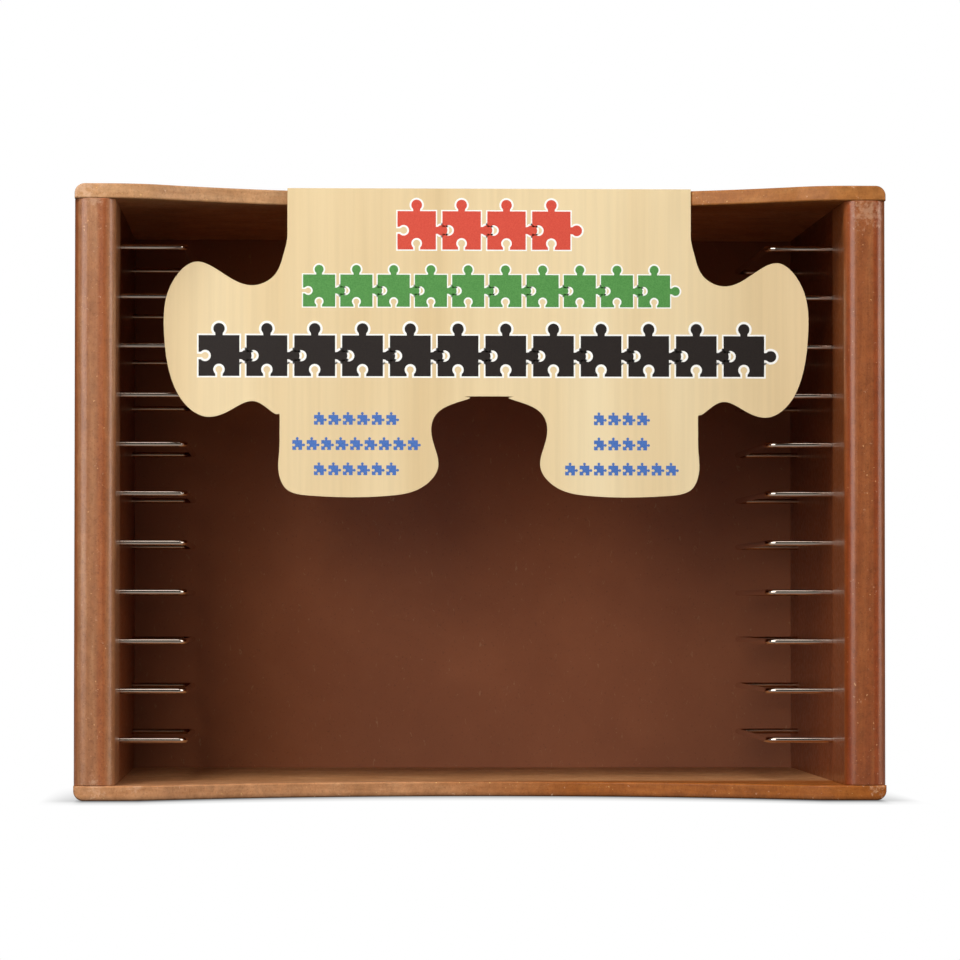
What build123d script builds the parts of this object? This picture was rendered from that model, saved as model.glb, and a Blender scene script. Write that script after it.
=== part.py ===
from build123d import *
from math import sqrt
import os

# Jigsaw puzzle storage case: an open-fronted box with eleven pairs of wire shelves.
# All lengths are millimetres. X is the width, Z is up and Y runs from the open front
# to the back. "depth" below is always measured back from the front face of the posts.

# Whole case
case_width = 344.0
case_height = 260.9
case_depth = 241.0

# Top and bottom boards
board_thickness = 6.35
board_end_radius = 4.2
front_arris = 0.8
cutout_depth = 49.0
cutout_radius = 237.0
cutout_blend = 40.0

# Front posts and the side panels glued behind them
post_width = 17.5
post_depth = 49.5
post_arris = 5.5
seam_arris = 0.4
panel_thickness = 17.5

# Back panel, laid over the rear edges
back_thickness = 3.5
back_inset = 1.0

# Wire shelves: U-shaped wires with two legs seated in the side panel
wire_count = 11
wire_diameter = 2.4
wire_reach = 29.4
wire_seat = 12.0
wire_bend = 4.5
bore_clearance = 0.1
first_wire_height = 24.2
wire_pitch = 21.35
front_leg_depth = 52.0
back_leg_depth = 205.0

# Brads
brad_diameter = 1.2
brad_head_diameter = 2.2
brad_head_thickness = 0.5
brad_set_depth = 0.3
brad_length = 19.5
brad_depths = [24.0, 61.0, 98.0, 135.0, 172.0, 209.0]
back_brad_length = 16.0
back_brad_heights = [30.0, 80.0, 130.0, 180.0, 230.0]
back_brad_columns = [-120.0, -60.0, 0.0, 60.0, 120.0]

# Display card: half outline as (distance from its centre line, drop below the fold)
card_thickness = 0.6
card_front_depth = 29.4
card_centre = 4.5
card_gap = 0.02
flap_depth = 44.0
flap_corner = 6.0
card_strip_half_width = 86.7
card_knob_reach = 138.4
card_knob_shift = -1.1
card_shoulder = [
    (86.7, 20.0),
    (88.1, 27.5),
    (92.0, 37.3),
    (101.0, 41.8),
    (113.0, 37.2),
    (125.5, 31.8),
    (134.4, 39.5),
    (138.4, 62.5),
    (135.0, 82.9),
    (129.4, 93.0),
    (121.4, 98.1),
    (111.4, 95.9),
    (99.5, 91.8),
    (91.6, 97.0),
    (89.9, 110.0),
]
card_foot = [
    (89.9, 110.0),
    (90.4, 120.8),
    (87.3, 128.9),
    (77.0, 132.0),
    (60.0, 132.7),
    (42.5, 132.0),
    (28.7, 128.3),
    (22.0, 120.0),
    (24.6, 107.0),
    (19.5, 94.3),
    (8.5, 89.8),
    (0.0, 89.3),
]

panel_height = case_height - 2 * board_thickness
board_depth = case_depth - back_thickness
panel_face = case_width / 2 - panel_thickness
front_plane = -case_depth / 2
wire_heights = [first_wire_height + wire_pitch * level for level in range(wire_count)]


def block(x_range, depth_range, z_range):
    """Box between two X positions, two depths and two heights."""
    size_x = x_range[1] - x_range[0]
    size_y = depth_range[1] - depth_range[0]
    size_z = z_range[1] - z_range[0]
    centre_x = (x_range[0] + x_range[1]) / 2
    centre_y = front_plane + (depth_range[0] + depth_range[1]) / 2
    centre_z = (z_range[0] + z_range[1]) / 2
    return Pos(centre_x, centre_y, centre_z) * Box(size_x, size_y, size_z)


def rod(start, end, diameter):
    """Straight round rod between two points given as (x, depth, z)."""
    a = Vector(start[0], front_plane + start[1], start[2])
    b = Vector(end[0], front_plane + end[1], end[2])
    section = Plane(origin=a, z_dir=b - a) * Circle(diameter / 2)
    return extrude(section, amount=(b - a).length)


def board_plan():
    """Plan of a board: square at the back, with a curved finger cut-out in the front edge."""
    half = case_width / 2
    centre_depth = cutout_depth - cutout_radius
    blend_x = sqrt(cutout_depth * (2 * (cutout_radius + cutout_blend) - cutout_depth))
    share = cutout_radius / (cutout_radius + cutout_blend)
    meet_x = share * blend_x
    meet_depth = centre_depth + share * (cutout_blend - centre_depth)
    outline = [
        Line((-half, 0), (-blend_x, 0)),
        TangentArc((-blend_x, 0), (-meet_x, meet_depth), tangent=(1, 0)),
        ThreePointArc((-meet_x, meet_depth), (0, cutout_depth), (meet_x, meet_depth)),
        TangentArc((blend_x, 0), (meet_x, meet_depth), tangent=(-1, 0)),
        Line((blend_x, 0), (half, 0)),
        Line((half, 0), (half, board_depth)),
        Line((half, board_depth), (-half, board_depth)),
        Line((-half, board_depth), (-half, 0)),
    ]
    return Pos(0, front_plane) * make_face(outline)


def board(bottom_z, outer_z):
    """Thin board with its two ends rounded on the outer side and its front arrises eased."""
    shape = Pos(0, 0, bottom_z) * extrude(board_plan(), amount=board_thickness)
    ends = shape.edges().filter_by(Axis.Y).filter_by_position(Axis.Z, outer_z - 0.01, outer_z + 0.01)
    shape = fillet(ends, board_end_radius)
    front_limit = front_plane + cutout_depth + 0.01
    long_edges = [
        edge
        for edge in shape.edges().filter_by_position(Axis.Y, front_plane - 0.01, front_limit)
        if edge.length > 12.0 and edge.bounding_box().size.Z < 0.01
    ]
    return fillet(long_edges, front_arris)


def turned(profile, point, direction):
    """Solid turned from a (radius, distance) profile, standing on a surface point."""
    face = make_face(Polyline(*[(radius, 0, distance) for radius, distance in profile], close=True))
    origin = (point[0], front_plane + point[1], point[2])
    return Plane(origin=origin, z_dir=direction) * revolve(face, axis=Axis.Z)


def brad(point, direction, length):
    """Headed brad with a short tapered tip, set just below the surface point."""
    head = brad_head_diameter / 2
    shank = brad_diameter / 2
    head_end = brad_set_depth + brad_head_thickness
    tip = brad_set_depth + length
    profile = [
        (0, brad_set_depth),
        (head, brad_set_depth),
        (head, head_end),
        (shank, head_end),
        (shank, tip - 2 * brad_diameter),
        (shank / 3, tip),
        (0, tip),
    ]
    return turned(profile, point, direction)


def brad_bore(point, direction, length):
    """Bore for a whole brad, with a wider space for its head."""
    head = (brad_head_diameter + bore_clearance) / 2
    shank = (brad_diameter + bore_clearance) / 2
    head_end = brad_set_depth + brad_head_thickness + 0.05
    tip = brad_set_depth + length + 0.2
    profile = [(0, 0), (head, 0), (head, head_end), (shank, head_end), (shank, tip), (0, tip)]
    return turned(profile, point, direction)


def board_brad_points(side, outer_z):
    """Surface points of one row of brads, through a board into one side."""
    x = side * (case_width / 2 - post_width / 2)
    return [(x, depth, outer_z) for depth in brad_depths]


def back_brad_points():
    """Surface points of the brads round the back panel."""
    side_x = case_width / 2 - panel_thickness / 2
    rail_heights = [board_thickness / 2, case_height - board_thickness / 2]
    points = [(side * side_x, case_depth, height) for side in (-1, 1) for height in back_brad_heights]
    points += [(x, case_depth, height) for x in back_brad_columns for height in rail_heights]
    return points


def post(side):
    """Solid post with both front arrises rounded over and its ends eased at the boards."""
    outer = side * case_width / 2
    inner = side * (case_width / 2 - post_width)
    shape = block(sorted((inner, outer)), (0, post_depth), (board_thickness, case_height - board_thickness))
    front_edges = shape.edges().filter_by(Axis.Z).filter_by_position(Axis.Y, front_plane - 0.01, front_plane + 0.01)
    shape = fillet(front_edges, post_arris)
    seams = [edge for edge in shape.faces().sort_by(Axis.Y)[0].edges() if edge.bounding_box().size.Z < 0.01]
    return fillet(seams, seam_arris)


def panel(side):
    """Side panel flush with its post, bored for both legs of every wire."""
    outer = side * case_width / 2
    inner = side * panel_face
    z_range = (board_thickness, case_height - board_thickness)
    shape = block(sorted((inner, outer)), (post_depth, board_depth), z_range)
    bore_end = side * (panel_face + wire_seat + 0.2)
    bores = [
        rod((inner, depth, height), (bore_end, depth, height), wire_diameter + bore_clearance)
        for height in wire_heights
        for depth in (front_leg_depth, back_leg_depth)
    ]
    joint = front_plane + post_depth
    seams = shape.edges().filter_by(Axis.Y).filter_by_position(Axis.X, outer - 0.01, outer + 0.01)
    seams += shape.edges().filter_by(Axis.Z).filter_by_position(Axis.X, inner - 0.01, inner + 0.01).filter_by_position(
        Axis.Y, joint - 0.01, joint + 0.01)
    return fillet(seams, seam_arris) - bores


def wire_shelf(side, height):
    """U-shaped wire: two legs joined by a bridge, bent from one length."""
    seat = side * (panel_face + wire_seat)
    tip = side * (panel_face - wire_reach + wire_diameter / 2)
    start = (seat, front_plane + front_leg_depth, height)
    front_corner = (tip, front_plane + front_leg_depth, height)
    back_corner = (tip, front_plane + back_leg_depth, height)
    end = (seat, front_plane + back_leg_depth, height)
    path = FilletPolyline(start, front_corner, back_corner, end, radius=wire_bend)
    section = Plane(origin=start, z_dir=(-side, 0, 0)) * Circle(wire_diameter / 2)
    return sweep(section, path=path)


def card_half(side):
    """Edges of one half of the hanging card; both side knobs sit a little to the left."""
    def place(point):
        beyond = max(0.0, point[0] - card_strip_half_width)
        shift = card_knob_shift * beyond / (card_knob_reach - card_strip_half_width)
        return (side * point[0] + shift, -point[1])

    return [
        Line((side * card_strip_half_width, 0), place(card_shoulder[0])),
        Spline([place(point) for point in card_shoulder], tangents=[(0, -1), (0, -1)]),
        Spline([place(point) for point in card_foot], tangents=[(0, -1), (-side, 0)]),
    ]


def card_outline():
    """Face of the hanging part of the card, below its fold."""
    top = case_height + card_gap + card_thickness
    fold = Line((-card_strip_half_width, 0), (card_strip_half_width, 0))
    face = make_face([fold] + card_half(1) + card_half(-1))
    upright = Plane(origin=(card_centre, front_plane + card_front_depth, top), x_dir=(1, 0, 0), z_dir=(0, -1, 0))
    return upright * face


def display_card():
    """Folded card: the shaped front hangs from a flap that lies on the top board."""
    hanging = extrude(card_outline(), amount=-card_thickness)
    x_range = (card_centre - card_strip_half_width, card_centre + card_strip_half_width)
    depth_range = (card_front_depth, card_front_depth + flap_depth)
    z_range = (case_height + card_gap, case_height + card_gap + card_thickness)
    flap = block(x_range, depth_range, z_range)
    rear = front_plane + card_front_depth + flap_depth
    corners = flap.edges().filter_by(Axis.Z).filter_by_position(Axis.Y, rear - 0.01, rear + 0.01)
    return hanging + fillet(corners, flap_corner)


def save(shape, node):
    """Write one node to its STEP file."""
    shape.label = node
    export_step(shape, f"parts/{node}.step")


os.makedirs("parts", exist_ok=True)
down = (0, 0, -1)
up = (0, 0, 1)
forward = (0, -1, 0)

brad_rows = {
    "top_left_brads": (board_brad_points(-1, case_height), down, brad_length),
    "top_right_brads": (board_brad_points(1, case_height), down, brad_length),
    "bottom_left_brads": (board_brad_points(-1, 0), up, brad_length),
    "bottom_right_brads": (board_brad_points(1, 0), up, brad_length),
    "back_brads": (back_brad_points(), forward, back_brad_length),
}
all_bores = {
    node: [brad_bore(point, direction, length) for point in points]
    for node, (points, direction, length) in brad_rows.items()
}

save(board(0, 0) - all_bores["bottom_left_brads"] - all_bores["bottom_right_brads"] - all_bores["back_brads"],
     "bottom_board")
save(board(case_height - board_thickness, case_height)
     - all_bores["top_left_brads"] - all_bores["top_right_brads"] - all_bores["back_brads"],
     "top_board")

for side, name in ((-1, "left"), (1, "right")):
    row_bores = all_bores[f"top_{name}_brads"] + all_bores[f"bottom_{name}_brads"]
    save(post(side) - row_bores, f"{name}_post")
    save(panel(side) - row_bores - all_bores["back_brads"], f"{name}_panel")
    for number, height in enumerate(wire_heights, start=1):
        save(wire_shelf(side, height), f"{name}_wire_{number:02d}")

back_range = (-case_width / 2 + back_inset, case_width / 2 - back_inset)
save(block(back_range, (board_depth, case_depth), (back_inset, case_height - back_inset)) - all_bores["back_brads"],
     "back_panel")

for node, (points, direction, length) in brad_rows.items():
    save(Compound([brad(point, direction, length) for point in points]), node)

save(display_card(), "display_card")
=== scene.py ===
from math import cos, radians, sin

import bmesh
import bpy
from mathutils import Matrix, Vector


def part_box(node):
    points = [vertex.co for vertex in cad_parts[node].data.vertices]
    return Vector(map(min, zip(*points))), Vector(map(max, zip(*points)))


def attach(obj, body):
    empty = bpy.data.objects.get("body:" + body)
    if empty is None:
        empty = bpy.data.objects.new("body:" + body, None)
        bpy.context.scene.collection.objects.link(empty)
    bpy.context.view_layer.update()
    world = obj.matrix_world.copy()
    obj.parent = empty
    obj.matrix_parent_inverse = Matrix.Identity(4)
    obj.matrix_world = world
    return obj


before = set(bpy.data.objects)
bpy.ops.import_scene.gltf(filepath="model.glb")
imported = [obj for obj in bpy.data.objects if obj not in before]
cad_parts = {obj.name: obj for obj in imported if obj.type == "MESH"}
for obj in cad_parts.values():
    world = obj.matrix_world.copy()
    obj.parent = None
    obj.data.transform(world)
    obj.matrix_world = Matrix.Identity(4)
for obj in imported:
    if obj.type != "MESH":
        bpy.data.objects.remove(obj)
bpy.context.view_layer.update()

# Lengths are metres. The case's front plane faces -Y and its base is at Z = 0.
MM = 0.001
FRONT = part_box("left_post")[0][1]
CARD_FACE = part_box("display_card")[0][1]
CARD_CENTRE = (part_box("display_card")[0][0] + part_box("display_card")[1][0]) / 2
CARD_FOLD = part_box("display_card")[1][2]
HALF_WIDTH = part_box("bottom_board")[1][0]
CASE_MIDDLE = Vector((0.0, 0.0, 130 * MM))

# The contact shadow starts at the bottom board's concave front edge and rounded ends.
CUTOUT_DEPTH = 49 * MM
CUTOUT_RADIUS = 237 * MM
END_RADIUS = 4 * MM

# It fades over these lengths in front of the case, beside it and along its sides.
SHADOW_AHEAD = 50 * MM
SHADOW_ASIDE = 18 * MM
SHADOW_BEHIND = 160 * MM

# The painted light and sheen of the front's tint reach this deep and fade over the next length. The painted
# shade at the bottom ends at the last height.
FRONT_ZONE = 50 * MM
FRONT_FADE = 15 * MM
BOTTOM_SHADE_HEIGHT = 2.2 * MM

# Painted shade darkens the wires' colour from this depth over the next length, so they look dull at the
# back.
WIRE_SHADE_DEPTH = 60 * MM
WIRE_FADE = 140 * MM

# Each printed layer stands this far off the card's face.
BORDER_LIFT = 0.03 * MM
INK_LIFT = 0.06 * MM

# The lines of small pieces on the card's feet start this far below its fold and follow at this pitch.
FOOT_PRINT_DROP = 99.5 * MM
FOOT_LINE_PITCH = 10.8 * MM
SMALL_PIECE = 4.2 * MM
SMALL_GAP = 2.0 * MM

WHITE = (1.0, 1.0, 1.0)


# ---------------------------------------------------------------- camera and light

def add_camera():
    """Camera at the photograph's viewing angle: long lens, low and a little to the left.

    The angles are radians, and the place is in millimetres from the foot of the case's front plane.
    """
    yaw = 0.0350
    pitch = 0.0255
    roll = 0.0004
    focal_pixels = 4942.8
    frame_pixels = 960
    place = Vector((-73.68, -2089.53, 82.21)) * MM + Vector((0, FRONT, 0))
    forward = Vector((sin(yaw) * cos(pitch), cos(yaw) * cos(pitch), sin(pitch)))
    level = Vector((cos(yaw), -sin(yaw), 0))
    upright = level.cross(forward)
    right = cos(roll) * level + sin(roll) * upright
    up = cos(roll) * upright - sin(roll) * level
    data = bpy.data.cameras.new("camera")
    data.sensor_width = 36.0
    data.lens = data.sensor_width * focal_pixels / frame_pixels
    data.clip_start = 0.1
    data.clip_end = 50.0
    camera = bpy.data.objects.new("camera", data)
    camera.matrix_world = Matrix((
        (right.x, up.x, -forward.x, place.x),
        (right.y, up.y, -forward.y, place.y),
        (right.z, up.z, -forward.z, place.z),
        (0, 0, 0, 1),
    ))
    bpy.context.scene.collection.objects.link(camera)
    bpy.context.scene.camera = camera


def around(azimuth, distance, height):
    """Place at an azimuth in degrees from straight in front, positive to the right."""
    return Vector((distance * sin(radians(azimuth)), -distance * cos(radians(azimuth)), height))


def add_softbox(name, place, size, power, seen_in):
    """Rectangular area light turned to the case; "diffuse" only lights it, "gloss" only shows in gloss."""
    data = bpy.data.lights.new(name, "AREA")
    data.shape = "RECTANGLE"
    data.size = size[0]
    data.size_y = size[1]
    data.energy = power
    light = bpy.data.objects.new(name, data)
    light.location = place
    light.rotation_euler = (CASE_MIDDLE - Vector(place)).to_track_quat("-Z", "Y").to_euler()
    light.visible_glossy = seen_in == "gloss"
    light.visible_diffuse = seen_in == "diffuse"
    bpy.context.scene.collection.objects.link(light)


def add_plane(name, x_range, y_range, height, material):
    """Level stage plane between two X and two Y positions."""
    left, right = x_range
    near, far = y_range
    corners = [(left, near, height), (right, near, height), (right, far, height), (left, far, height)]
    mesh = bpy.data.meshes.new(name)
    mesh.from_pydata(corners, [], [(0, 1, 2, 3)])
    mesh.materials.append(material)
    plane = bpy.data.objects.new(name, mesh)
    bpy.context.scene.collection.objects.link(plane)
    return plane


def add_lights():
    """Soft light from high in front, from both sides and off the table, and cards that show in gloss."""
    add_softbox("high_front", (-0.6, -1.3, 1.7), (1.2, 1.0), 40, "diffuse")
    add_softbox("table_bounce", (0.0, -0.7, 0.01), (1.0, 0.5), 0.3, "diffuse")
    add_softbox("low_left", around(-42, 2.0, 0.35), (1.1, 0.6), 6, "diffuse")
    add_softbox("low_front", around(-13, 2.4, 0.55), (0.8, 0.7), 12, "diffuse")
    add_softbox("front_right", around(25, 2.2, 0.8), (0.8, 1.0), 3, "diffuse")
    add_softbox("right", around(75, 2.0, 0.35), (1.2, 0.6), 17, "diffuse")
    add_softbox("left_card", around(-36, 2.0, 0.8), (1.5, 1.6), 28, "gloss")
    add_softbox("right_card", around(68, 2.0, 0.8), (1.1, 1.8), 17, "gloss")
    add_softbox("overhead_card", (0.0, -0.8, 1.7), (2.0, 0.9), 11, "gloss")


def add_world():
    """Surroundings that the camera sees as white and that light the case only a little."""
    world = bpy.data.worlds.new("studio")
    bpy.context.scene.world = world
    world.use_nodes = True
    tree = world.node_tree
    dim = tree.nodes["Background"]
    dim.inputs["Color"].default_value = (*WHITE, 1.0)
    dim.inputs["Strength"].default_value = 0.03
    white = tree.nodes.new("ShaderNodeBackground")
    white.inputs["Color"].default_value = (*WHITE, 1.0)
    seen = tree.nodes.new("ShaderNodeLightPath").outputs["Is Camera Ray"]
    both = tree.nodes.new("ShaderNodeMixShader")
    tree.links.new(seen, both.inputs["Fac"])
    tree.links.new(dim.outputs["Background"], both.inputs[1])
    tree.links.new(white.outputs["Background"], both.inputs[2])
    tree.links.new(both.outputs["Shader"], tree.nodes["World Output"].inputs["Surface"])


def add_studio():
    """White surroundings, a floor that only the camera sees and a table that only gloss sees."""
    add_world()
    floor = add_plane("floor", (-12, 12), (-12, 12), 0.0, floor_material())
    floor.visible_diffuse = False
    floor.visible_glossy = False
    table = add_plane("table", (-1.6, 1.6), (-1.5, 0.9), -1 * MM, table_material())
    table.visible_camera = False
    table.visible_diffuse = False
    bpy.context.scene.view_settings.view_transform = "Standard"


# ---------------------------------------------------------------- material nodes

class Nodes:
    """A material and short ways to add its nodes."""

    def __init__(self, name):
        self.material = bpy.data.materials.new(name)
        self.material.use_nodes = True
        self.tree = self.material.node_tree
        self.shader = self.tree.nodes["Principled BSDF"]
        self.place = self.tree.nodes.new("ShaderNodeTexCoord").outputs["Object"]

    def link(self, output, socket):
        """Link from an output to an input."""
        self.tree.links.new(output, socket)

    def stretched(self, scale):
        """Object coordinates, stretched by a factor on each axis."""
        node = self.tree.nodes.new("ShaderNodeMapping")
        node.inputs["Scale"].default_value = scale
        self.link(self.place, node.inputs["Vector"])
        return node.outputs["Vector"]

    def noise(self, scale, detail=3.0, roughness=0.55, distortion=0.0, vector=None):
        """Noise value; scale is in features per metre."""
        node = self.tree.nodes.new("ShaderNodeTexNoise")
        node.inputs["Scale"].default_value = scale
        node.inputs["Detail"].default_value = detail
        node.inputs["Roughness"].default_value = roughness
        node.inputs["Distortion"].default_value = distortion
        self.link(vector or self.place, node.inputs["Vector"])
        return node.outputs["Fac"]

    def ramp(self, value, stops):
        """Colour ramp from (position, colour) stops; a number stands for a grey."""
        node = self.tree.nodes.new("ShaderNodeValToRGB")
        elements = node.color_ramp.elements
        while len(elements) < len(stops):
            elements.new(0.5)
        for element, (position, colour) in zip(elements, stops):
            element.position = position
            grey = isinstance(colour, (int, float))
            element.color = (colour, colour, colour, 1.0) if grey else (*colour, 1.0)
        self.link(value, node.inputs["Fac"])
        return node.outputs["Color"]

    def mix(self, factor, first, second, mode="MIX"):
        """Mix of two colours; a colour may be a socket or a plain triple."""
        node = self.tree.nodes.new("ShaderNodeMix")
        node.data_type = "RGBA"
        node.blend_type = mode
        for name, value in (("Factor", factor), ("A", first), ("B", second)):
            sockets = [s for s in node.inputs if s.name == name]
            socket = sockets[0] if name == "Factor" else [s for s in sockets if s.type == "RGBA"][0]
            if isinstance(value, bpy.types.NodeSocket):
                self.link(value, socket)
            elif name == "Factor":
                socket.default_value = value
            else:
                socket.default_value = (*value, 1.0)
        return [s for s in node.outputs if s.type == "RGBA"][0]

    def multiplied(self, first, second):
        """Product of two colours."""
        return self.mix(1.0, first, second, "MULTIPLY")

    def math(self, operation, first, second=0.0, third=0.0, clamp=False):
        """Math node on sockets or numbers."""
        node = self.tree.nodes.new("ShaderNodeMath")
        node.operation = operation
        node.use_clamp = clamp
        for socket, value in zip(node.inputs, (first, second, third)):
            if isinstance(value, bpy.types.NodeSocket):
                self.link(value, socket)
            else:
                socket.default_value = value
        return node.outputs["Value"]

    def axis(self, name):
        """One object coordinate, in metres."""
        node = self.tree.nodes.new("ShaderNodeSeparateXYZ")
        self.link(self.place, node.inputs["Vector"])
        return node.outputs[name]

    def along(self, name, start, length):
        """0 before a start on an axis, rising to 1 over a length."""
        return self.math("DIVIDE", self.math("SUBTRACT", self.axis(name), start), length, clamp=True)

    def near(self, point, radius):
        """1 at a point, falling to 0 at a radius."""
        node = self.tree.nodes.new("ShaderNodeVectorMath")
        node.operation = "DISTANCE"
        self.link(self.place, node.inputs[0])
        node.inputs[1].default_value = point
        return self.math("SUBTRACT", 1.0, self.math("DIVIDE", node.outputs["Value"], radius), clamp=True)

    def bump(self, height, distance, strength=1.0):
        """Bump from a height value into the shader's normal."""
        node = self.tree.nodes.new("ShaderNodeBump")
        node.inputs["Strength"].default_value = strength
        node.inputs["Distance"].default_value = distance
        self.link(height, node.inputs["Height"])
        self.link(node.outputs["Normal"], self.shader.inputs["Normal"])


def srgb(red, green, blue):
    """Linear colour from 0-255 display values."""
    def linear(value):
        value = value / 255
        return value / 12.92 if value <= 0.04045 else ((value + 0.055) / 1.055) ** 2.4
    return (linear(red), linear(green), linear(blue))


def on_front(x, z):
    """Point on the case's front plane, from its X and Z in millimetres."""
    return (x * MM, FRONT, z * MM)


# ---------------------------------------------------------------- floor and table

def glowing(name):
    """Black material without gloss that shows only its own white glow."""
    m = Nodes(name)
    m.shader.inputs["Base Color"].default_value = (0.0, 0.0, 0.0, 1.0)
    m.shader.inputs["Specular IOR Level"].default_value = 0.0
    m.shader.inputs["Emission Color"].default_value = (*WHITE, 1.0)
    return m


def floor_material():
    """White sweep that glows evenly, with a soft contact shadow round the case's front and sides."""
    m = glowing("floor")
    x = m.axis("X")
    y = m.axis("Y")
    root = m.math("SQRT", m.math("SUBTRACT", CUTOUT_RADIUS ** 2, m.math("MULTIPLY", x, x), clamp=True))
    recess = m.math("MAXIMUM", 0.0, m.math("ADD", root, CUTOUT_DEPTH - CUTOUT_RADIUS))
    ahead = m.math("DIVIDE", m.math("SUBTRACT", m.math("ADD", recess, FRONT), y), SHADOW_AHEAD, clamp=True)
    aside = m.math("SUBTRACT", m.math("ABSOLUTE", x), HALF_WIDTH - END_RADIUS)
    aside = m.math("DIVIDE", aside, SHADOW_ASIDE, clamp=True)
    front_shade = m.ramp(ahead, [(0.0, 0.88), (0.12, 0.70), (0.45, 0.26), (1.0, 0.0)])
    side_shade = m.ramp(aside, [(0.0, 1.0), (0.20, 0.42), (0.52, 0.28), (1.0, 0.0)])
    fade = m.math("SUBTRACT", 1.0, m.along("Y", FRONT, SHADOW_BEHIND))
    shade = m.math("MULTIPLY", m.math("MULTIPLY", front_shade, side_shade), fade)
    m.link(m.math("SUBTRACT", 1.0, shade), m.shader.inputs["Emission Strength"])
    return m.material


def table_material():
    """White table as the glossy surfaces see it."""
    m = glowing("table")
    m.shader.inputs["Emission Strength"].default_value = 0.35
    return m.material


# ---------------------------------------------------------------- stained fibreboard

def painted_light_tint(m, painted_light_tints, inside):
    """Tint by place that paints light and sheen: bottom left, bottom right, top left, top right, and behind
    the front.
    """
    low_left, low_right, high_left, high_right = painted_light_tints
    across = m.math("MULTIPLY_ADD", m.axis("X"), 0.5 / HALF_WIDTH, 0.5)
    rightward = m.ramp(across, [(0.40, 0.0), (0.62, 1.0)])
    low = m.mix(rightward, low_left, low_right)
    high = m.mix(rightward, high_left, high_right)
    tint = m.mix(m.along("Z", 0.0, CARD_FOLD), low, high)
    if inside:
        tint = m.mix(m.along("Y", FRONT + FRONT_ZONE, FRONT_FADE), tint, inside)
    return tint


def shade_banded(m, tint, shade_bands):
    """Tint with upright bands of painted shade, deeper orange where the rounded arrises turn away from the
    light, each at an X and with a half width.
    """
    for x, half_width in shade_bands:
        distance = m.math("ABSOLUTE", m.math("SUBTRACT", m.axis("X"), x))
        shade_band = m.math("SUBTRACT", 1.0, m.math("DIVIDE", distance, half_width), clamp=True)
        deeper_shade = m.multiplied(tint, (0.92, 0.66, 0.46))
        tint = m.mix(m.ramp(shade_band, [(0.0, 0.0), (0.6, 0.9)]), tint, deeper_shade)
    return tint


def shaded_at_bottom(m, tint):
    """Tint that darkens at the very bottom of the case: painted shade on the rounded lower arris next to
    the floor.
    """
    height = m.math("DIVIDE", m.axis("Z"), BOTTOM_SHADE_HEIGHT)
    return m.multiplied(tint, m.ramp(height, [(0.0, 0.4), (1.0, 1.0)]))


def speckled(m, colour, speckle, fleck):
    """Colour with dark dots, a fine mottle, soft clouds and a few pale flecks."""
    dots = m.ramp(m.noise(1200.0, detail=2.0, roughness=0.6), [(0.32, (0.62, 0.50, 0.42)), (0.46, WHITE)])
    dotted = m.mix(speckle, colour, dots, "MULTIPLY")
    fine = m.noise(300.0, detail=4.0, roughness=0.7, distortion=0.4, vector=m.stretched((1.0, 1.0, 0.7)))
    mottled = m.mix(0.7, dotted, m.ramp(fine, [(0.35, 0.80), (0.62, 1.14)]), "MULTIPLY")
    cloud = m.noise(60.0, detail=4.0, roughness=0.6)
    clouded = m.mix(0.7, mottled, m.ramp(cloud, [(0.35, 0.92), (0.65, 1.07)]), "MULTIPLY")
    sparse = m.ramp(m.noise(760.0, detail=1.0, roughness=0.4), [(0.765, 0.0), (0.79, 1.0)])
    return m.mix(m.math("MULTIPLY", sparse, 0.6), clouded, fleck)


def rubbed(m, colour, worn):
    """Colour with ragged pale patches, each at a point and with a radius and a strength."""
    ragged = m.math("MULTIPLY_ADD", m.noise(520.0, detail=4.0, roughness=0.7), 3.0, -1.5)
    for point, radius, strength in worn:
        rub = m.ramp(m.math("ADD", m.near(point, radius), ragged), [(0.45, 0.0), (1.0, strength)])
        colour = m.mix(rub, colour, srgb(222, 180, 146))
    return colour


def stained_fibreboard(name, tones, grain, painted_light_tints, inside, fleck, speckle, roughness, gloss,
                       shade_bands=(), worn=()):
    """Stained and lacquered fibreboard: streaks in three tones, a tint by place that paints light, sheen
    and shade, speckles and wear.
    """
    m = Nodes(name)
    streaks = m.noise(1.0, detail=4.0, roughness=0.6, distortion=0.3, vector=m.stretched(grain))
    base = m.ramp(streaks, list(zip((0.30, 0.52, 0.72), tones)))
    # The tint paints light and sheen by place, and shade in any bands and at the very bottom.
    tint = shaded_at_bottom(m, shade_banded(m, painted_light_tint(m, painted_light_tints, inside), shade_bands))
    finish = rubbed(m, speckled(m, m.multiplied(base, tint), speckle, fleck), worn)
    m.link(finish, m.shader.inputs["Base Color"])
    sheen = m.ramp(m.noise(500.0), [(0.35, roughness - 0.07), (0.7, roughness + 0.09)])
    m.link(sheen, m.shader.inputs["Roughness"])
    m.shader.inputs["Specular IOR Level"].default_value = 0.7 * gloss
    m.shader.inputs["Coat Weight"].default_value = gloss
    m.shader.inputs["Coat Roughness"].default_value = 0.17
    m.bump(m.noise(800.0, detail=4.0), 0.09 * MM, strength=0.6)
    return m.material


def board_wood():
    """Top and bottom boards: pale brown on the left and orange on the right, the top board paler, as
    painted light and sheen; rubbed at three corners.
    """
    return stained_fibreboard(
        "board_wood",
        tones=[srgb(172, 118, 74), srgb(186, 132, 87), srgb(197, 145, 99)],
        grain=(60, 60, 400),
        painted_light_tints=[(1.04, 1.03, 1.10), (0.70, 0.44, 0.18), (1.08, 1.20, 1.34), (0.79, 0.63, 0.39)],
        inside=(1.05, 1.05, 1.05),
        fleck=srgb(236, 198, 124),
        speckle=0.4,
        roughness=0.50,
        gloss=0.15,
        worn=[
            (on_front(-170, 258.0), 16 * MM, 0.60),
            (on_front(-163, 6.0), 8 * MM, 0.5),
            (on_front(-146, 6.5), 6 * MM, 0.5),
            (on_front(168, 5.0), 5 * MM, 0.4),
        ],
    )


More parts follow.
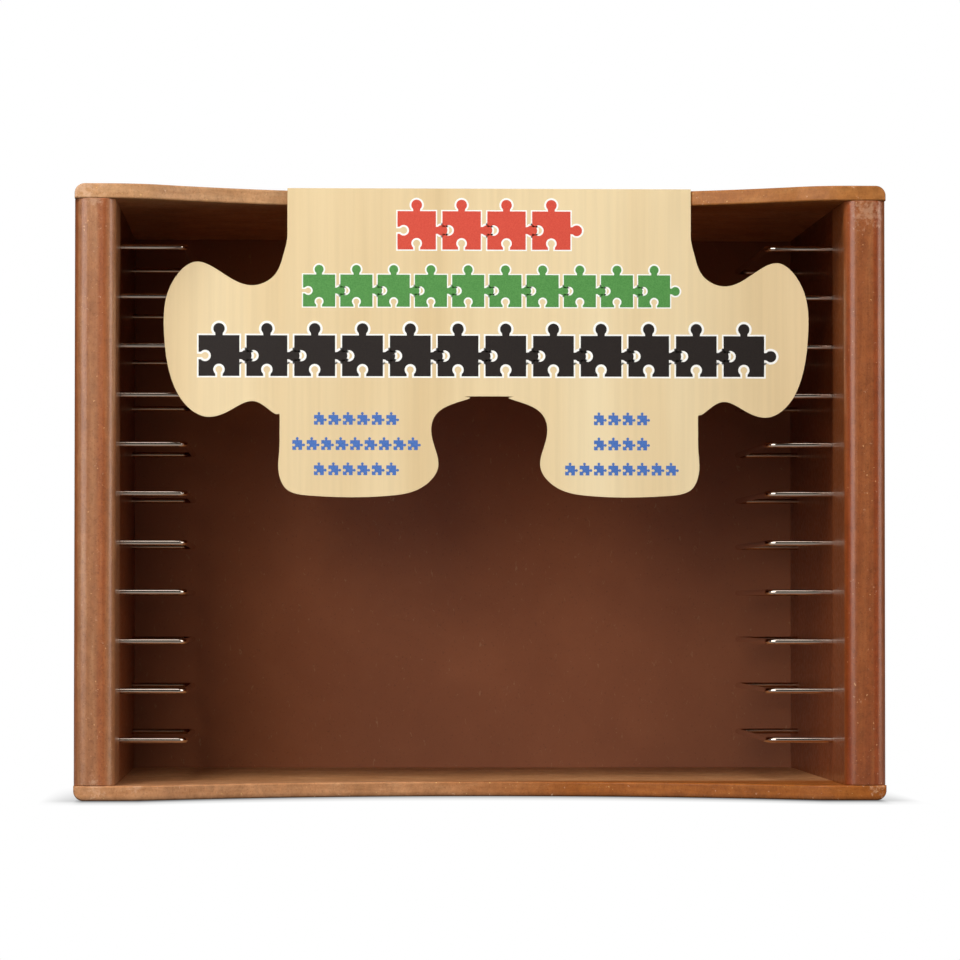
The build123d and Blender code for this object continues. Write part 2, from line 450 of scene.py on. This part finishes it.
def post_wood():
    """Posts: upright grain, paler on the left as painted sheen, with painted shade in deeper bands along
    the arrises.
    """
    return stained_fibreboard(
        "post_wood",
        tones=[srgb(150, 82, 43), srgb(162, 93, 50), srgb(172, 105, 60)],
        grain=(420, 420, 22),
        painted_light_tints=[(0.97, 1.30, 1.75), (0.71, 0.58, 0.46), (0.99, 1.32, 1.85), (0.84, 0.83, 0.80)],
        inside=(0.9, 0.9, 0.9),
        fleck=srgb(222, 168, 118),
        speckle=0.5,
        roughness=0.40,
        gloss=0.45,
        shade_bands=[
            (0.5 * MM - HALF_WIDTH, 1.5 * MM),
            (11.8 * MM - HALF_WIDTH, 2.6 * MM),
            (HALF_WIDTH - 15.8 * MM, 1.8 * MM),
            (HALF_WIDTH - 4.3 * MM, 1.4 * MM),
        ],
        worn=[
            (on_front(-163, 8.0), 5 * MM, 0.4),
            (on_front(-163, 253.5), 5 * MM, 0.3),
            (on_front(164, 250.0), 12 * MM, 0.3),
        ],
    )


def panel_wood():
    """Side panels: dark, with painted light low down and painted shade that grows darker towards the top,
    under the top board.
    """
    low = (1.25, 1.30, 1.35)
    high = (0.50, 0.36, 0.22)
    return stained_fibreboard(
        "panel_wood",
        tones=[srgb(110, 52, 22), srgb(120, 60, 27), srgb(130, 68, 33)],
        grain=(300, 120, 30),
        painted_light_tints=[low, low, high, high],
        inside=None,
        fleck=srgb(160, 112, 76),
        speckle=0.3,
        roughness=0.40,
        gloss=0.25,
    )


# ---------------------------------------------------------------- other materials

def hardboard():
    """Back panel: smooth fibre hardboard with short pale and dark fibres, and painted shade that darkens it
    aside and above.
    """
    m = Nodes("hardboard")
    cloud = m.noise(28.0, detail=5.0, roughness=0.6, distortion=0.4)
    base = m.ramp(cloud, [(0.32, srgb(160, 92, 54)), (0.55, srgb(166, 97, 58)), (0.72, srgb(171, 101, 61))])
    fibre = m.noise(700.0, detail=2.0, roughness=0.5, distortion=1.2, vector=m.stretched((1.0, 1.0, 0.45)))
    pale = m.ramp(fibre, [(0.68, 0.0), (0.74, 1.0)])
    fibred = m.mix(m.math("MULTIPLY", pale, 0.35), base, srgb(204, 158, 112))
    dark = m.ramp(m.noise(1100.0, detail=2.0), [(0.28, 1.0), (0.36, 0.0)])
    mottled = m.mix(m.math("MULTIPLY", dark, 0.30), fibred, srgb(70, 42, 28))
    # Painted shade towards the side walls and under the top board.
    aside = m.math("DIVIDE", m.math("ABSOLUTE", m.axis("X")), HALF_WIDTH)
    shaded = m.multiplied(mottled, m.ramp(aside, [(0.45, 1.0), (0.90, 0.78)]))
    upward = m.math("DIVIDE", m.axis("Z"), CARD_FOLD)
    shaded = m.multiplied(shaded, m.ramp(upward, [(0.50, WHITE), (0.75, (0.72, 0.62, 0.38))]))
    m.link(shaded, m.shader.inputs["Base Color"])
    m.shader.inputs["Roughness"].default_value = 0.55
    m.bump(m.noise(1400.0), 0.04 * MM, strength=0.4)
    return m.material


def wire_metal():
    """Nickel plating with fine drawing marks, and painted shade that makes it duller towards the back."""
    m = Nodes("wire_metal")
    marks = m.noise(1.0, roughness=0.5, vector=m.stretched((200, 200, 4000)))
    bright = m.ramp(marks, [(0.3, (0.60, 0.49, 0.40)), (0.7, (0.70, 0.58, 0.48))])
    # Painted shade: the colour darkens towards the back of the case.
    depth = m.along("Y", FRONT + WIRE_SHADE_DEPTH, WIRE_FADE)
    back_shaded = m.multiplied(bright, m.ramp(depth, [(0.0, WHITE), (1.0, (0.80, 0.66, 0.54))]))
    m.link(back_shaded, m.shader.inputs["Base Color"])
    m.shader.inputs["Metallic"].default_value = 1.0
    m.link(m.ramp(m.noise(600.0), [(0.3, 0.09), (0.7, 0.15)]), m.shader.inputs["Roughness"])
    return m.material


def brad_steel():
    """Plain steel, a little dull."""
    m = Nodes("brad_steel")
    tone = m.ramp(m.noise(900.0), [(0.3, (0.36, 0.33, 0.30)), (0.7, (0.52, 0.49, 0.45))])
    m.link(tone, m.shader.inputs["Base Color"])
    m.shader.inputs["Metallic"].default_value = 1.0
    m.shader.inputs["Roughness"].default_value = 0.42
    return m.material


def card_paper():
    """Paperboard printed with a pale upright birch grain."""
    m = Nodes("card_paper")
    wide = m.noise(1.0, roughness=0.5, distortion=0.5, vector=m.stretched((26, 26, 2.2)))
    fine = m.noise(1.0, detail=4.0, roughness=0.6, distortion=0.2, vector=m.stretched((420, 420, 9)))
    tones = [srgb(222, 194, 146), srgb(231, 206, 160), srgb(238, 217, 174)]
    base = m.ramp(wide, list(zip((0.30, 0.52, 0.75), tones)))
    lines = m.ramp(fine, [(0.35, 0.955), (0.60, 1.0)])
    m.link(m.multiplied(base, lines), m.shader.inputs["Base Color"])
    m.shader.inputs["Roughness"].default_value = 0.45
    m.shader.inputs["Specular IOR Level"].default_value = 0.35
    return m.material


def ink(name, low, high):
    """Printed ink with a fine grain between two close colours."""
    m = Nodes(name)
    grain = m.ramp(m.noise(2200.0, detail=2.0), [(0.3, low), (0.7, high)])
    m.link(grain, m.shader.inputs["Base Color"])
    m.shader.inputs["Roughness"].default_value = 0.4
    m.shader.inputs["Specular IOR Level"].default_value = 0.35
    return m.material


def dress_nodes():
    """Give every CAD node its finish, by the first of these words in its name."""
    finishes = [
        ("_board", board_wood()),
        ("_post", post_wood()),
        ("back_panel", hardboard()),
        ("_panel", panel_wood()),
        ("_wire_", wire_metal()),
        ("_brads", brad_steel()),
        ("_card", card_paper()),
    ]
    for name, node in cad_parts.items():
        finish = next(material for word, material in finishes if word in name)
        for slot in node.material_slots:
            slot.material = finish


# ---------------------------------------------------------------- printed motifs

def side_outline(start, end, knob):
    """Points along one side of a jigsaw piece, with its round knob out for +1 and in for -1."""
    radius_share = 0.14
    centre_share = 1.15
    neck_share = 0.62
    first_angle = -48
    sweep = 276
    steps = 14
    along = (end - start).normalized()
    out = Vector((along.y, -along.x)) * knob
    radius = radius_share * (end - start).length
    neck = along * radius * neck_share
    middle = (start + end) / 2
    centre = middle + out * radius * centre_share
    points = [start, middle - neck]
    for step in range(steps + 1):
        angle = radians(first_angle + step * sweep / steps)
        points.append(centre - along * radius * cos(angle) + out * radius * sin(angle))
    points.append(middle + neck)
    return points


def piece_outline(centre, size, knobs):
    """Closed outline of a jigsaw piece; knobs go bottom, right, top, left."""
    half = size / 2
    steps = [(-half, -half), (half, -half), (half, half), (-half, half)]
    corners = [centre + Vector(step) for step in steps]
    points = []
    for index, knob in enumerate(knobs):
        points += side_outline(corners[index], corners[(index + 1) % 4], knob)
    return points


def grown(points, amount):
    """The same outline moved outwards by a small amount."""
    moved = []
    count = len(points)
    for index, point in enumerate(points):
        before = (point - points[index - 1]).normalized()
        after = (points[(index + 1) % count] - point).normalized()
        normal = Vector((before.y + after.y, -before.x - after.x)).normalized()
        moved.append(point + normal * amount)
    return moved


def add_print(name, outlines, lift, material):
    """Flat printed areas just in front of the card's face, as one mesh."""
    mesh = bpy.data.meshes.new(name)
    shape = bmesh.new()
    for outline in outlines:
        corners = [shape.verts.new((p.x, CARD_FACE - lift, p.y)) for p in outline]
        shape.faces.new(corners)
    shape.normal_update()
    bmesh.ops.triangulate(shape, faces=shape.faces[:])
    shape.to_mesh(mesh)
    shape.free()
    obj = bpy.data.objects.new(name, mesh)
    bpy.context.scene.collection.objects.link(obj)
    mesh.materials.append(material)
    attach(obj, "card")


def piece_row(centre, drop, count, size, gap):
    """Outlines of a level row of alike pieces, each knob reaching into the next piece."""
    pitch = size + gap
    first = CARD_CENTRE + centre - pitch * (count - 1) / 2
    height = CARD_FOLD - drop
    places = [Vector((first + index * pitch, height)) for index in range(count)]
    return [piece_outline(place, size, (-1, 1, 1, -1)) for place in places]


def small_row(centre, line, count):
    """Row of small pieces on one of the card's feet."""
    return piece_row(centre, FOOT_PRINT_DROP + FOOT_LINE_PITCH * line, count, SMALL_PIECE, SMALL_GAP)


def print_card():
    """Rows of jigsaw pieces where the card carries its print."""
    white = ink("ink_white", srgb(248, 246, 238), srgb(254, 252, 246))
    black = ink("ink_black", srgb(30, 24, 22), srgb(40, 33, 29))
    green = ink("ink_green", srgb(70, 132, 62), srgb(92, 152, 78))
    blue = ink("ink_blue", srgb(64, 104, 176), srgb(80, 120, 190))
    red = ink("ink_red", srgb(206, 70, 54), srgb(216, 84, 64))
    # Name, centre, drop, number, size and gap of the pieces, ink, and width of the white border.
    bordered = [
        ("top", piece_row(-1.2 * MM, 18 * MM, 4, 16.5 * MM, 2.8 * MM), red, 0.8 * MM),
        ("upper", piece_row(0.0, 44 * MM, 10, 13.8 * MM, 2.2 * MM), green, 0.7 * MM),
        ("large", piece_row(-2.1 * MM, 72 * MM, 12, 17.5 * MM, 3.0 * MM), black, 1.0 * MM),
    ]
    for name, outlines, finish, border in bordered:
        borders = [grown(outline, border) for outline in outlines]
        add_print(f"print_{name}_border", borders, BORDER_LIFT, white)
        add_print(f"print_{name}", outlines, INK_LIFT, finish)
    for line, (left_count, right_count) in enumerate([(6, 4), (9, 4), (6, 8)]):
        add_print(f"print_left_foot_{line}", small_row(-56.5 * MM, line, left_count), INK_LIFT, blue)
        add_print(f"print_right_foot_{line}", small_row(57.5 * MM, line, right_count), INK_LIFT, blue)


# ---------------------------------------------------------------- scene

add_camera()
add_lights()
add_studio()
dress_nodes()
print_card()
